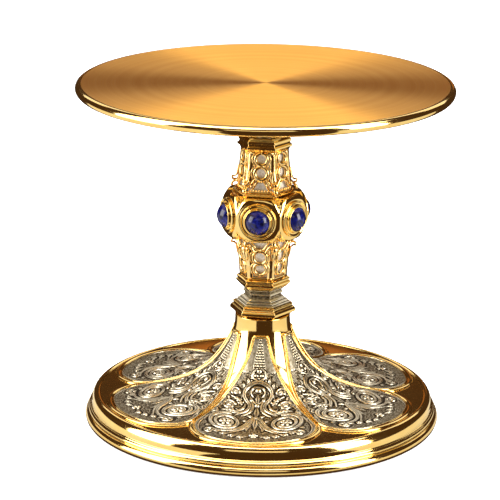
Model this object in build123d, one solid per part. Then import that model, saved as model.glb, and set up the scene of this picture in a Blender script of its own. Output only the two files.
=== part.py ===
from build123d import *
import os
from math import cos, radians, sin

# Round altar stand: a gilt disc carried by a hexagonal stem with a jewelled knop, on a
# flared foot with six oxidised plaques. Millimetres, +Z up, origin under the foot's centre.

# Driving dimensions
HEIGHT = 166.0
PLATE_D = 180.0
PLATE_T = 4.6
FOOT_D = 172.0
SIDES = 6
STEM_TURN = -5.5          # the stem pulls up a few degrees short of the foot's panels
STONE_D = 11.9
ROD_D = 8.0
ROD_CLEARANCE = 0.05

# Levels of the stem's pieces, from the foot upwards
FOOT_NECK_Z = 52.3
SPOOL_Z = 57.9
LOWER_COLLAR_Z = 66.0
LOWER_LANTERN_Z = 71.2
KNOP_Z = 92.2
KNOP_TOP_Z = 113.2
UPPER_LANTERN_Z = 114.6
UPPER_COLLAR_Z = 134.5
UPPER_SPOOL_Z = 140.8
CALYX_COLLAR_Z = 148.0
CALYX_Z = 153.4
PLATE_Z = HEIGHT - PLATE_T

# Clamping parts in the neck of the foot
WEB_T = 3.0
WASHER_D = 16.0
WASHER_T = 1.6
NUT_CORNER_R = 7.5
NUT_H = 6.5
ROD_END_Z = 37.5          # where the rod's lower end stands clear of the nut
ROD_SHORT = 0.4           # gap between the rod's upper end and the plate

# Foot
NECK_R = 13.3
FIELD_R = 79.0
FIELD_Z = 12.5
SHELL_T = 1.5
PLAQUE_T = 0.7
BORDER_T = 1.1
BORDER_W = 3.0
BORDER_TOP_W = 1.4
PLAQUE_TOP_Z = 43.4
RING_R = FOOT_D / 2

# Stem
CORNER = 1 / cos(radians(180 / SIDES))
LANTERN_WALL = 1.4
LANTERN_WIDE_R = 13.3
LANTERN_NARROW_R = 11.6
KNOP_FLAT_R = 17.6
KNOP_END_R = 13.2
SEAT_R = 18.3
BOSS_D = 19.6
BEZEL_D = 17.4

rod_hole = Cylinder(ROD_D / 2 + ROD_CLEARANCE, 3 * HEIGHT)


def turned(*edges):
    """A turning, from the closed half outline (radius, height) that the edges make."""
    return revolve(Plane.XZ * make_face(edges), Axis.Z)


def hexagonal(*outline):
    """The hexagonal counterpart of a turning, from (height, corner radius) points upwards."""
    right = [(corner / CORNER, z) for z, corner in outline]
    left = [(-x, z) for x, z in reversed(right)]
    return mitred(make_face(Polyline(*right, *left, close=True)))


def mitred(face):
    """Where three equal bars cross at 60 degrees, a body whose every level is a hexagon is left."""
    bar = extrude(Plane.XZ * face, amount=FOOT_D, both=True)
    body = bar & Rot(0, 0, 60) * bar & Rot(0, 0, 120) * bar
    return Rot(0, 0, 30 + STEM_TURN) * body


def on_each_face(shape):
    """Six copies of a shape that is drawn on the face towards -Y."""
    return [Rot(0, 0, STEM_TURN + 60 * i) * shape for i in range(SIDES)]


# Stem mouldings, each bored for the tie rod

def moulding(z0, *steps):
    """A bored hexagonal moulding, from steps of (height above z0, corner radius) upwards."""
    return hexagonal(*[(z0 + z, corner) for z, corner in steps]) - rod_hole


def foot_collar():
    return moulding(
        FOOT_NECK_Z, (0, 13.6), (0.9, 14.6), (1.6, 16.1), (2.9, 16.2), (3.3, 15.7),
        (3.8, 15.5), (3.9, 14.7), (4.6, 14.4), (4.8, 14.7), (SPOOL_Z - FOOT_NECK_Z, 14.6))


def spool(z0, up):
    """Stepped waist of oxidised silver; up is 1, or -1 for the mirrored one under the plate."""
    steps = [
        (0, 13.6), (0.6, 13.4), (0.7, 12.5), (1.4, 12.2), (1.5, 11.1), (2.3, 10.5), (2.5, 9.8),
        (3.4, 9.1), (4.4, 8.8), (5.3, 8.9), (5.4, 9.4), (6.1, 9.5), (6.2, 9.0), (7.0, 9.3),
        (7.6, 10.2), (8.1, 10.6),
    ]
    return moulding(z0, *[(up * z, corner) for z, corner in steps[::up]])


def lower_collar():
    return moulding(
        LOWER_COLLAR_Z, (0, 11.2), (0.6, 11.9), (1.3, 12.4), (1.9, 13.3), (3.0, 13.4),
        (3.2, 12.7), (3.8, 12.6), (4.0, 13.2), (4.6, 13.2), (LOWER_LANTERN_Z - LOWER_COLLAR_Z, 12.3))


def upper_collar():
    return moulding(
        UPPER_COLLAR_Z, (0, 11.9), (0.8, 12.3), (1.4, 13.3), (2.4, 13.4), (2.7, 12.6),
        (3.7, 12.3), (3.9, 12.8), (5.1, 12.7), (5.5, 12.1), (UPPER_SPOOL_Z - UPPER_COLLAR_Z, 11.0))


def calyx_collar():
    return moulding(
        CALYX_COLLAR_Z, (0, 13.6), (1.0, 14.6), (1.4, 16.1), (2.8, 16.2), (3.2, 15.5),
        (4.2, 15.2), (CALYX_Z - CALYX_COLLAR_Z, 14.9))


def calyx():
    """Flared support under the plate, hollowed for the plate's boss."""
    lip_r = 30.0
    hollow_r = 12.0
    web_z = CALYX_Z + 2.4
    outside = Spline((14.0, CALYX_Z), (16.5, CALYX_Z + 4), (lip_r, PLATE_Z - 1.2),
                     tangents=[(0, 1), (1, 0.15)])
    inside = Polyline(outside @ 1, (lip_r, PLATE_Z), (hollow_r, PLATE_Z), (hollow_r, web_z),
                      (0, web_z), (0, CALYX_Z), outside @ 0)
    return turned(outside, inside) - rod_hole


def plate():
    edge_r = PLATE_T / 2
    rim_r = PLATE_D / 2 - edge_r
    edges = [
        Line((0, PLATE_Z), (rim_r, PLATE_Z)),
        ThreePointArc((rim_r, PLATE_Z), (PLATE_D / 2, PLATE_Z + edge_r), (rim_r, HEIGHT)),
        Line((rim_r, HEIGHT), (0, HEIGHT)),
        Line((0, HEIGHT), (0, PLATE_Z)),
    ]
    return turned(*edges)


def plate_boss():
    """Threaded socket brazed under the plate, hidden in the calyx."""
    socket_d = 22.8
    height = 5.4
    return Pos(0, 0, PLATE_Z - height / 2) * Cylinder(socket_d / 2, height) - rod_hole


# Lanterns: a silver core in a gilt cage, wide at the knop and narrow at the collar

def lantern_levels(knop_end, up, length, inset):
    """Corner radii of a lantern, inset towards the axis."""
    levels = [(0, 14.3), (0.9, 14.3), (1.5, LANTERN_WIDE_R), (7, 12.9), (13, 12.2),
              (length, LANTERN_NARROW_R)]
    levels = [(knop_end + up * z, corner - inset * CORNER) for z, corner in levels]
    return levels if up > 0 else levels[::-1]


def lantern_core(knop_end, up, length):
    return hexagonal(*lantern_levels(knop_end, up, length, LANTERN_WALL)) - rod_hole


def volute(knop_end, up):
    """Leaf that curls out from a corner beside the knop, drawn in the plane of that corner."""
    curl_r = 1.25
    curl = Pos(14.6, knop_end + up * 4.2) * Circle(curl_r)
    web = Polyline(
        (12.2, knop_end + up * 9.0), (12.9, knop_end + up * 9.0), (13.6, knop_end + up * 5.4),
        (14.9, knop_end + up * 3.0), (12.2, knop_end + up * 3.4), close=True)
    leaf = extrude(Plane.XZ * (curl + make_face(web)), amount=0.9, both=True)
    return Rot(0, 0, -60) * leaf


def lantern_cage(knop_end, up, length, strip, rings):
    """Gilt openwork: a frame on each face, linked rings (level, radius, eye) and an arch."""
    outer = hexagonal(*lantern_levels(knop_end, up, length, 0))
    shell = outer - hexagonal(*lantern_levels(knop_end, up, length, LANTERN_WALL))

    def opening(outline):
        return Pos(0, -8, 0) * extrude(Plane.XZ * outline, amount=12)

    narrow = LANTERN_NARROW_R / 2 - strip
    side = [(4.9, 1.7), (3.6, 5.6), (6.4 - strip, 8), (narrow, length - strip)]
    right = [(x, knop_end + up * z) for x, z in side]
    left = [(-x, z) for x, z in reversed(right)]
    window = make_face(Polyline(*right, *left, close=True))
    solid_rings = [Pos(0, knop_end + up * z) * Circle(r) for z, r, _ in rings]
    eyes = [Pos(0, knop_end + up * z) * Circle(eye) for z, _, eye in rings]
    cut_out = opening(window - solid_rings + eyes)
    cage = shell - on_each_face(cut_out)
    return cage + on_each_face(volute(knop_end, up))


def plinth():
    """Stepped hexagonal plate between the knop and the upper lantern."""
    return moulding(
        KNOP_TOP_Z, (0, 15.4), (0.4, 15.7), (0.8, 15.6), (0.9, 14.9), (UPPER_LANTERN_Z - KNOP_TOP_Z, 14.8))


# Knop

def knop():
    middle = (KNOP_Z + KNOP_TOP_Z) / 2
    half = (KNOP_TOP_Z - KNOP_Z) / 2
    upper = [(KNOP_FLAT_R, 3.5), (16.7, half - 3.6), (KNOP_END_R + 1.4, half - 0.7), (KNOP_END_R, half)]
    lower = [(x, -z) for x, z in reversed(upper)]
    right = Spline(*[(x, z + middle) for x, z in lower + upper])
    left = mirror(right, about=Plane.YZ)
    ends = [Line(right @ 0, left @ 0), Line(right @ 1, left @ 1)]
    body = mitred(make_face([right, left, *ends]))
    boss_h = 4.0
    seat = Plane((0, -SEAT_R, middle), z_dir=(0, -1, 0))
    boss = seat * Pos(0, 0, -boss_h / 2) * Cylinder(BOSS_D / 2, boss_h)
    boss = fillet(boss.edges().group_by(Axis.Y)[0], 0.6)
    return body + on_each_face(boss) - rod_hole


def jewel_place(index):
    """Where the jewel's seat is: on a face of the knop, its axis pointing outwards."""
    middle = (KNOP_Z + KNOP_TOP_Z) / 2
    seat = Plane((0, -SEAT_R, middle), x_dir=(1, 0, 0), z_dir=(0, -1, 0))
    return Rot(0, 0, STEM_TURN + 60 * index) * seat.location


def bezel():
    outline = Polyline(
        (6.0, 0), (BEZEL_D / 2, 0), (BEZEL_D / 2, 0.8), (8.4, 1.5), (7.9, 1.8), (7.4, 1.6),
        (7.15, 1.2), (6.9, 1.3), (6.75, 2.2), (6.4, 2.6), (5.8, 2.6), (5.6, 2.4), (6.0, 1.3),
        close=True)
    return revolve(Plane.XZ * make_face(outline), Axis.Z)


def cabochon():
    girdle = 1.2
    crown = 5.4
    r = STONE_D / 2
    dome = Spline((r, girdle), (0.74 * r, girdle + 2.5), (0, crown), tangents=[(-0.35, 1), (-1, 0)])
    edges = [Line((0, 0), (r, 0)), Line((r, 0), (r, girdle)), dome, Line((0, crown), (0, 0))]
    return turned(*edges)


# Foot

def flare(offset):
    """Line of the foot from neck to field, moved outwards and upwards by an offset."""
    line = Spline(
        (NECK_R, FOOT_NECK_Z), (13.8, 45.5), (17.0, 37.2), (24.0, 27.0), (34.0, 19.4),
        (50.0, 14.4), (64.0, 12.8), (FIELD_R, FIELD_Z),
        tangents=[(0, -1), (1, 0)])
    return Pos(offset, offset) * line


def skin(inner, outer):
    """Thin shell that follows the foot between two offsets from its line."""
    low, high = flare(inner), flare(outer)
    ends = [Line(low @ 0, high @ 0), Line(low @ 1, high @ 1)]
    return revolve(Plane.XZ * make_face([low, high, *ends]), Axis.Z)


def foot_shell():
    """Spun skin with a closed neck, thickened by a web that the rod's nut pulls against."""
    neck_r = NECK_R - SHELL_T
    web_r = neck_r + 0.3
    web = Pos(0, 0, FOOT_NECK_Z - SHELL_T - WEB_T / 2) * Cylinder(web_r, WEB_T)
    top = Pos(0, 0, FOOT_NECK_Z - SHELL_T / 2) * Cylinder(neck_r, SHELL_T)
    return skin(-SHELL_T, 0) + top + web - rod_hole


def foot_ring():
    """Cast base moulding that holds the shell's edge in a bevelled seat."""
    seat_r, seat_z = FIELD_R - SHELL_T, FIELD_Z - SHELL_T
    edges = [
        Polyline((seat_r, seat_z), (FIELD_R, FIELD_Z), (FIELD_R, 12.9), (80.2, 12.9)),
        ThreePointArc((80.2, 12.9), (82.2, 11.1), (83.0, 7.2)),
        Polyline((83.0, 7.2), (83.5, 6.9), (83.5, 6.5)),
        ThreePointArc((83.5, 6.5), (84.5, 5.5), (84.2, 4.5)),
        Polyline((84.2, 4.5), (83.9, 4.2)),
        ThreePointArc((83.9, 4.2), (RING_R, 1.7), (85.2, 0)),
        Polyline((85.2, 0), (80.5, 0), (80.0, 4.0), (76.0, 8.8), (76.0, seat_z), (seat_r, seat_z)),
    ]
    return revolve(Plane.XZ * make_face(edges), Axis.Z)


def panel_outline(grow=0.0):
    """Plaque in plan, towards -Y: narrow at the neck, spreading to a broad rounded end."""
    side = [
        (2.3 + 0.2 * grow, 13.0), (4.3 + 0.3 * grow, 16.6),
        (9.6 + 0.4 * grow, 23.0), (16.4 + 0.6 * grow, 32.0), (23.6 + 0.8 * grow, 43.6),
        (28.3 + grow, 55.0 + 0.6 * grow), (23.6 + 0.9 * grow, 66.6 + 0.9 * grow),
        (13.2 + 0.5 * grow, 73.0 + 1.05 * grow), (0, 75.2 + 1.1 * grow),
    ]
    right = Spline(*[(w, -x) for w, x in side], tangents=[(1, -2), (-1, 0)])
    left = mirror(right, about=Plane.YZ)
    return make_face([right, left, Line(left @ 0, right @ 0)])


def sector():
    """The sixth of the foot that one plaque and its border may fill."""
    half = radians(180 / SIDES - 0.1)
    side = (FOOT_D * sin(half), -FOOT_D * cos(half))
    return make_face(Polyline((0, 0), side, (-side[0], side[1]), close=True))


def plaque():
    return extrude(panel_outline(), amount=PLAQUE_TOP_Z) & skin(0, PLAQUE_T)


def border():
    """Raised gilt frame round a plaque, cut off where it meets its neighbours."""
    outside = extrude(panel_outline(BORDER_W) & sector(), amount=PLAQUE_TOP_Z + BORDER_TOP_W)
    inside = extrude(panel_outline(), amount=PLAQUE_TOP_Z)
    return (outside - inside) & skin(0, BORDER_T)


# Clamping parts inside the foot

def tie_rod():
    top = PLATE_Z - ROD_SHORT
    rod = Pos(0, 0, (ROD_END_Z + top) / 2) * Cylinder(ROD_D / 2, top - ROD_END_Z)
    return chamfer(rod.edges().filter_by(GeomType.CIRCLE), 0.6)


def washer_plate():
    top = FOOT_NECK_Z - SHELL_T - WEB_T
    return Pos(0, 0, top - WASHER_T / 2) * Cylinder(WASHER_D / 2, WASHER_T) - rod_hole


def tie_nut():
    bottom = FOOT_NECK_Z - SHELL_T - WEB_T - WASHER_T - NUT_H
    nut = extrude(Plane.XY.offset(bottom) * RegularPolygon(NUT_CORNER_R, SIDES), amount=NUT_H)
    return nut - rod_hole


os.makedirs("parts", exist_ok=True)


def save(name, shape):
    export_step(shape, f"parts/{name}.step")


LOWER_LANTERN = (KNOP_Z, -1, KNOP_Z - LOWER_LANTERN_Z)
UPPER_LANTERN = (UPPER_LANTERN_Z, 1, UPPER_COLLAR_Z - UPPER_LANTERN_Z)
LOWER_RINGS = [(9.5, 4.8, 2.4), (15.3, 4.3, 2.1)]
UPPER_RINGS = [(9.6, 4.4, 2.0), (16.4, 4.0, 1.9)]

save("top_plate", plate())
save("plate_boss", plate_boss())
save("top_calyx", calyx())
save("calyx_collar", calyx_collar())
save("upper_spool", split(spool(CALYX_COLLAR_Z, -1), Plane.XY.offset(UPPER_SPOOL_Z), Keep.TOP))
save("upper_collar", upper_collar())
save("upper_lantern_core", lantern_core(*UPPER_LANTERN))
save("upper_lantern_cage", lantern_cage(*UPPER_LANTERN, 1.7, UPPER_RINGS))
save("upper_plinth", plinth())
save("knop_body", knop())
save("lower_lantern_core", lantern_core(*LOWER_LANTERN))
save("lower_lantern_cage", lantern_cage(*LOWER_LANTERN, 2.1, LOWER_RINGS))
save("lower_collar", lower_collar())
save("lower_spool", spool(SPOOL_Z, 1))
save("foot_collar", foot_collar())
save("foot_shell", foot_shell())
save("foot_ring", foot_ring())
save("tie_rod", tie_rod())
save("washer_plate", washer_plate())
save("tie_nut", tie_nut())

one_bezel, one_stone, one_plaque, one_border = bezel(), cabochon(), plaque(), border()
for i in range(SIDES):
    save(f"bezel_{i + 1}", jewel_place(i) * one_bezel)
    save(f"cabochon_{i + 1}", jewel_place(i) * one_stone)
    save(f"plaque_{i + 1}", Rot(0, 0, 60 * i) * one_plaque)
    save(f"plaque_border_{i + 1}", Rot(0, 0, 60 * i) * one_border)
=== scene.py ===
"""Gilt altar stand with a jewelled knop and chased silver plaques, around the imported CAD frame."""
import math

import bmesh
import bpy
import numpy as np
from mathutils import Matrix, Vector


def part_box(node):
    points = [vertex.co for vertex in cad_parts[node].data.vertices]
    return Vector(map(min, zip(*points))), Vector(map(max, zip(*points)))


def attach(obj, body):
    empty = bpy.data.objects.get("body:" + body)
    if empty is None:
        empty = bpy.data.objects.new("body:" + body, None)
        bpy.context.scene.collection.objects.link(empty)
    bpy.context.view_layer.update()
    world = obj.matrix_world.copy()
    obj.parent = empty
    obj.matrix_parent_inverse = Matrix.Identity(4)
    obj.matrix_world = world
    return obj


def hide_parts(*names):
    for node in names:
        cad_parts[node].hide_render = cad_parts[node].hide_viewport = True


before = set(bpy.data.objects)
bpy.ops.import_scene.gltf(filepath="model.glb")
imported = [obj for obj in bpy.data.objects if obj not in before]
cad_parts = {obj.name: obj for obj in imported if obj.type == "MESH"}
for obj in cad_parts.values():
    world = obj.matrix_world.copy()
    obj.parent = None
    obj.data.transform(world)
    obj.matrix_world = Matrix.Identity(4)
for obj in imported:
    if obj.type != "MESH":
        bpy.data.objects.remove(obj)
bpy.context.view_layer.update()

MM = 0.001
SIDES = 6
STEM_TURN = math.radians(-5.5)
CORNER = 1 / math.cos(math.pi / SIDES)
BORE_R = 4.05


def top_of(node):
    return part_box(node)[1].z / MM


def base_of(node):
    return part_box(node)[0].z / MM


# ---------------------------------------------------------------- mesh tools (millimetres)

def grid_quads(rows, cols, wrap_rows=False, wrap_cols=False):
    """Faces of a grid of points, row by row; a wrapped direction closes on itself."""
    i = np.arange(rows if wrap_rows else rows - 1)[:, None]
    j = np.arange(cols if wrap_cols else cols - 1)[None, :]
    below, right = (i + 1) % rows, (j + 1) % cols
    quads = [i * cols + j, i * cols + right, below * cols + right, below * cols + j]
    return np.stack([q + 0 * i + 0 * j for q in quads], -1).reshape(-1, 4)


def unit(rows):
    return rows / np.linalg.norm(rows, axis=1)[:, None]


def polar(r, angle, z):
    """Points (x, y, z) from a radius and an angle round the axis."""
    return np.stack([r * np.cos(angle), r * np.sin(angle), z + 0 * angle], -1)


def new_mesh(name, points, faces, smooth=True):
    mesh = bpy.data.meshes.new(name)
    mesh.from_pydata((np.asarray(points).reshape(-1, 3) * MM).tolist(), [], faces)
    mesh.validate()
    mesh.polygons.foreach_set("use_smooth", [smooth] * len(mesh.polygons))
    mesh.update()
    return mesh


def add_attribute(mesh, name, values):
    layer = mesh.attributes.new(name, "FLOAT", "POINT")
    layer.data.foreach_set("value", np.asarray(values, np.float32).ravel())


def in_scene(name, data):
    thing = bpy.data.objects.new(name, data)
    bpy.context.scene.collection.objects.link(thing)
    return thing


def add_piece(name, mesh, material, node, place=Matrix(), even_normals=False):
    """Puts a mesh in the scene as the piece of the object that stands for a CAD node."""
    piece = in_scene(name, mesh)
    if not mesh.materials:
        mesh.materials.append(material)
    piece.matrix_world = place
    if even_normals:
        modifier = piece.modifiers.new("even normals", "WEIGHTED_NORMAL")
        modifier.keep_sharp = True
    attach(piece, "root")
    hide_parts(node)


def smooth_curve(points, start=None, end=None, count=200):
    """Cubic spline through points, evenly sampled; start and end are optional directions."""
    points = np.asarray(points, float)
    steps = np.linalg.norm(np.diff(points, axis=0), axis=1)
    knots = np.concatenate([[0], np.cumsum(steps)])
    n = len(points)
    system, target = np.zeros((n, n)), np.zeros((n, points.shape[1]))
    for k in range(1, n - 1):
        before, after = steps[k - 1], steps[k]
        system[k, k - 1:k + 2] = after, 2 * (before + after), before
        slope_in = (points[k] - points[k - 1]) / before
        slope_out = (points[k + 1] - points[k]) / after
        target[k] = 3 * (after * slope_in + before * slope_out)
    for row, direction, near in ((0, start, 1), (n - 1, end, n - 2)):
        system[row, row] = 1 if direction is not None else 2
        if direction is not None:
            target[row] = np.asarray(direction, float) / np.linalg.norm(direction)
        else:
            system[row, near] = 1
            target[row] = 3 * (points[max(row, near)] - points[min(row, near)])
            target[row] /= steps[min(row, near)]
    slopes = np.linalg.solve(system, target)
    at = np.linspace(0, knots[-1], count)
    k = np.clip(np.searchsorted(knots, at, side="right") - 1, 0, n - 2)
    h = steps[k][:, None]
    t = ((at - knots[k]) / steps[k])[:, None]
    return (points[k] * (2 * t**3 - 3 * t**2 + 1) + slopes[k] * h * (t**3 - 2 * t**2 + t)
            + points[k + 1] * (3 * t**2 - 2 * t**3) + slopes[k + 1] * h * (t**3 - t**2))


def rounded(points, radius=0.25, steps=3):
    """A closed outline with its corners eased."""
    points = [np.asarray(p, float) for p in points]
    out = []
    for k, corner in enumerate(points):
        before, after = points[k - 1], points[(k + 1) % len(points)]
        reach_in = min(radius, 0.42 * np.linalg.norm(corner - before))
        reach_out = min(radius, 0.42 * np.linalg.norm(after - corner))
        a = corner + (before - corner) / max(np.linalg.norm(before - corner), 1e-9) * reach_in
        b = corner + (after - corner) / max(np.linalg.norm(after - corner), 1e-9) * reach_out
        for t in np.linspace(0, 1, steps + 1):
            out.append((1 - t) ** 2 * a + 2 * t * (1 - t) * corner + t**2 * b)
    return out


def lathe(outline, segments=192):
    """Closed body turned from a closed (radius, height) outline."""
    outline = np.asarray(outline, float)
    angle = np.arange(segments) * 2 * math.pi / segments
    points = np.stack([
        outline[:, :1] * np.cos(angle), outline[:, :1] * np.sin(angle),
        outline[:, 1:] + 0 * angle], -1)
    return points, grid_quads(len(outline), segments, True, True)


def hexagonal(outline, ease=0.3, arc_steps=4, bore=BORE_R):
    """Hexagonal counterpart of a turning from (height, corner radius) points upwards, bored."""
    body = np.array([(corner, z) for z, corner in outline])
    offsets = np.radians(np.linspace(-30, 30, arc_steps + 1))
    corners = np.arange(SIDES) * math.pi / 3 + STEM_TURN
    rings = []
    for corner_r, z in body:
        centre_r = (corner_r / CORNER - ease) * CORNER
        angle = corners[:, None] + offsets
        x = centre_r * np.cos(corners)[:, None] + ease * np.cos(angle)
        y = centre_r * np.sin(corners)[:, None] + ease * np.sin(angle)
        rings.append(np.stack([x.ravel(), y.ravel(), np.full(x.size, z)], -1))
    around = np.arctan2(rings[0][:, 1], rings[0][:, 0])
    for z in (body[-1, 1], body[0, 1]):
        rings.append(polar(bore, around, around * 0 + z))
    return np.array(rings), grid_quads(len(rings), len(around), True, True)


def eased_levels(levels, radius=0.2):
    """Rounds the corners of a list of (height, corner radius) points, its ends kept."""
    soft = rounded(levels, radius)
    steps = len(soft) // len(levels)
    return [levels[0], *soft[steps:-steps], levels[-1]]


def tube(line, side, lift, width, height, ring=12):
    """Closed swept body: an oval section with a half width along `side` and a half height along `lift`."""
    line = np.asarray(line, float)
    count = len(line)
    width = np.interp(np.linspace(0, 1, count), np.linspace(0, 1, len(width)), width)
    height = np.interp(np.linspace(0, 1, count), np.linspace(0, 1, len(height)), height)
    angle = np.arange(ring) * 2 * math.pi / ring
    across = side[:, None] * (width[:, None] * np.cos(angle))[..., None]
    along = lift[:, None] * (height[:, None] * np.sin(angle))[..., None]
    points = line[:, None] + across + along
    faces = grid_quads(count, ring, False, True).tolist()
    faces += [[*range(ring)][::-1], [*range((count - 1) * ring, count * ring)]]
    return points.reshape(-1, 3), faces


def joined(parts):
    """Several (points, faces) bodies as one."""
    points, faces, shift = [], [], 0
    for body_points, body_faces in parts:
        body_points = np.asarray(body_points).reshape(-1, 3)
        points.append(body_points)
        faces += [[k + shift for k in face] for face in body_faces]
        shift += len(body_points)
    return np.concatenate(points), faces


def turned_copies(points, faces, start=STEM_TURN):
    """Six copies of a body round the axis."""
    points = np.asarray(points).reshape(-1, 3)
    parts = []
    for k in range(SIDES):
        c, s = math.cos(start + k * math.pi / 3), math.sin(start + k * math.pi / 3)
        parts.append((points @ np.array([[c, s, 0], [-s, c, 0], [0, 0, 1]]), faces))
    return joined(parts)


# ---------------------------------------------------------------- materials

class Nodes:
    """Short hand for building a material's node tree."""

    def __init__(self, name):
        self.material = bpy.data.materials.new(name)
        self.material.use_nodes = True
        self.tree = self.material.node_tree
        self.shader = next(n for n in self.tree.nodes if n.type == "BSDF_PRINCIPLED")

    def add(self, kind, **settings):
        node = self.tree.nodes.new("ShaderNode" + kind)
        for key, value in settings.items():
            if key in node.inputs:
                node.inputs[key].default_value = value
            else:
                setattr(node, key, value)
        return node

    def link(self, source, target):
        self.tree.links.new(source, target)

    def ramp(self, source, *stops):
        node = self.add("ValToRGB")
        elements = node.color_ramp.elements
        while len(elements) < len(stops):
            elements.new(0.5)
        for element, (position, colour) in zip(elements, stops):
            element.position = position
            element.color = (*colour, 1)
        self.link(source, node.inputs["Fac"])
        return node.outputs["Color"]

    def noise(self, scale, detail=4.0, **settings):
        node = self.add("TexNoise", Scale=scale, Detail=detail, **settings)
        self.link(self.place(), node.inputs["Vector"])
        return node.outputs["Fac"]

    def place(self):
        return self.add("TexCoord").outputs["Object"]

    def bump(self, height, strength, distance):
        node = self.add("Bump", Strength=strength, Distance=distance)
        self.link(height, node.inputs["Height"])
        self.link(node.outputs["Normal"], self.shader.inputs["Normal"])

    def spread(self, source, low, high):
        node = self.add("MapRange")
        node.inputs["To Min"].default_value = low
        node.inputs["To Max"].default_value = high
        self.link(source, node.inputs["Value"])
        return node.outputs["Result"]

    def set(self, **values):
        for key, value in values.items():
            self.shader.inputs[key.replace("_", " ")].default_value = value


GOLD_LIGHT = (1.0, 0.74, 0.29)
GOLD_DEEP = (0.98, 0.66, 0.22)


def polished_gilt():
    m = Nodes("polished gilt")
    m.set(Metallic=1.0)
    tone = m.noise(90.0, 3.0)
    m.link(m.ramp(tone, (0.35, GOLD_DEEP), (0.65, GOLD_LIGHT)), m.shader.inputs["Base Color"])
    m.link(m.spread(m.noise(400.0, 5.0), 0.05, 0.13), m.shader.inputs["Roughness"])
    m.bump(m.noise(160.0, 2.0), 0.05, 0.0002)
    return m.material


def cast_gilt():
    """Softer gold of the cast openwork, with a grainy skin."""
    m = Nodes("cast gilt")
    m.set(Metallic=1.0)
    m.link(m.ramp(m.noise(500.0, 4.0), (0.3, (0.95, 0.60, 0.20)), (0.7, (1.0, 0.78, 0.38))),
           m.shader.inputs["Base Color"])
    m.link(m.spread(m.noise(700.0, 4.0), 0.08, 0.18), m.shader.inputs["Roughness"])
    m.bump(m.noise(1100.0, 3.0), 0.15, 0.0001)
    return m.material


def stippled_silver():
    """Pale matted silver behind the openwork."""
    m = Nodes("stippled silver")
    m.set(Metallic=0.5)
    dots = m.add("TexVoronoi", Scale=1500.0)
    m.link(m.place(), dots.inputs["Vector"])
    m.link(m.ramp(dots.outputs["Distance"], (0.1, (1.0, 0.97, 0.91)), (0.75, (0.70, 0.64, 0.55))),
           m.shader.inputs["Base Color"])
    m.link(m.spread(m.noise(900.0), 0.42, 0.6), m.shader.inputs["Roughness"])
    m.bump(dots.outputs["Distance"], 0.5, 0.00015)
    return m.material


def brushed_gilt():
    """Circular-brushed gold: the grooves run round the axis, so highlights fan out from it."""
    m = Nodes("brushed gilt")
    m.set(Metallic=1.0, Anisotropic=0.85, Anisotropic_Rotation=0.25)
    flat = m.add("VectorMath", operation="MULTIPLY")
    m.link(m.place(), flat.inputs[0])
    flat.inputs[1].default_value = (1, 1, 0)
    length = m.add("VectorMath", operation="LENGTH")
    m.link(flat.outputs["Vector"], length.inputs[0])
    radius = length.outputs["Value"]
    rings = m.add("TexNoise", noise_dimensions="1D", Scale=2600.0, Detail=6.0)
    m.link(radius, rings.inputs["W"])
    broad = m.add("TexNoise", noise_dimensions="1D", Scale=240.0, Detail=3.0)
    m.link(radius, broad.inputs["W"])
    m.link(m.ramp(broad.outputs["Fac"], (0.3, (0.92, 0.46, 0.072)), (0.7, (0.98, 0.53, 0.105))),
           m.shader.inputs["Base Color"])
    m.link(m.spread(rings.outputs["Fac"], 0.28, 0.44), m.shader.inputs["Roughness"])
    m.bump(rings.outputs["Fac"], 0.12, 0.00005)
    tangent = m.add("Tangent", direction_type="RADIAL", axis="Z")
    m.link(tangent.outputs["Tangent"], m.shader.inputs["Tangent"])
    return m.material


def oxidised_silver():
    """Bright on the high spots and blackened in the recesses, which the relief attribute marks."""
    m = Nodes("oxidised silver")
    m.set(Metallic=1.0)
    height = m.add("Attribute", attribute_name="relief").outputs["Fac"]
    grime = m.add("Math", operation="MULTIPLY_ADD")
    m.link(m.noise(900.0, 4.0), grime.inputs[0])
    grime.inputs[1].default_value = 0.5
    m.link(height, grime.inputs[2])
    colour = m.ramp(m.spread(grime.outputs[0], -0.33, 1.0), (0.06, (0.016, 0.010, 0.005)),
                    (0.30, (0.11, 0.080, 0.045)), (0.50, (0.42, 0.36, 0.24)), (0.74, (0.84, 0.77, 0.60)))
    m.link(colour, m.shader.inputs["Base Color"])
    m.link(m.spread(height, 0.5, 0.22), m.shader.inputs["Roughness"])
    m.bump(m.noise(1300.0, 3.0), 0.2, 0.0001)
    return m.material


def lapis():
    m = Nodes("lapis")
    m.set(Roughness=0.16, Coat_Weight=0.25, Coat_Roughness=0.05, IOR=1.42)
    cloud = m.noise(230.0, 7.0, Roughness=0.72, Distortion=1.2)
    colour = m.ramp(cloud, (0.34, (0.001, 0.001, 0.012)), (0.47, (0.002, 0.004, 0.070)),
                    (0.57, (0.006, 0.010, 0.17)), (0.68, (0.05, 0.07, 0.25)), (0.78, (0.20, 0.21, 0.32)))
    m.link(colour, m.shader.inputs["Base Color"])
    m.bump(cloud, 0.15, 0.0002)
    return m.material


def plated_steel():
    m = Nodes("plated steel")
    m.set(Metallic=1.0)
    m.link(m.ramp(m.noise(220.0), (0.3, (0.50, 0.50, 0.49)), (0.7, (0.66, 0.66, 0.64))),
           m.shader.inputs["Base Color"])
    m.link(m.spread(m.noise(600.0), 0.25, 0.4), m.shader.inputs["Roughness"])
    m.bump(m.noise(900.0), 0.1, 0.0001)
    return m.material


GILT = polished_gilt()
BRUSHED = brushed_gilt()
CAST = cast_gilt()
SILVER = oxidised_silver()
STIPPLED = stippled_silver()
LAPIS = lapis()
STEEL = plated_steel()


# ---------------------------------------------------------------- plate

PLATE_BASE, PLATE_TOP = base_of("top_plate"), top_of("top_plate")
PLATE_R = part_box("top_plate")[1].x / MM
EDGE_R = (PLATE_TOP - PLATE_BASE) / 2


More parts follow.
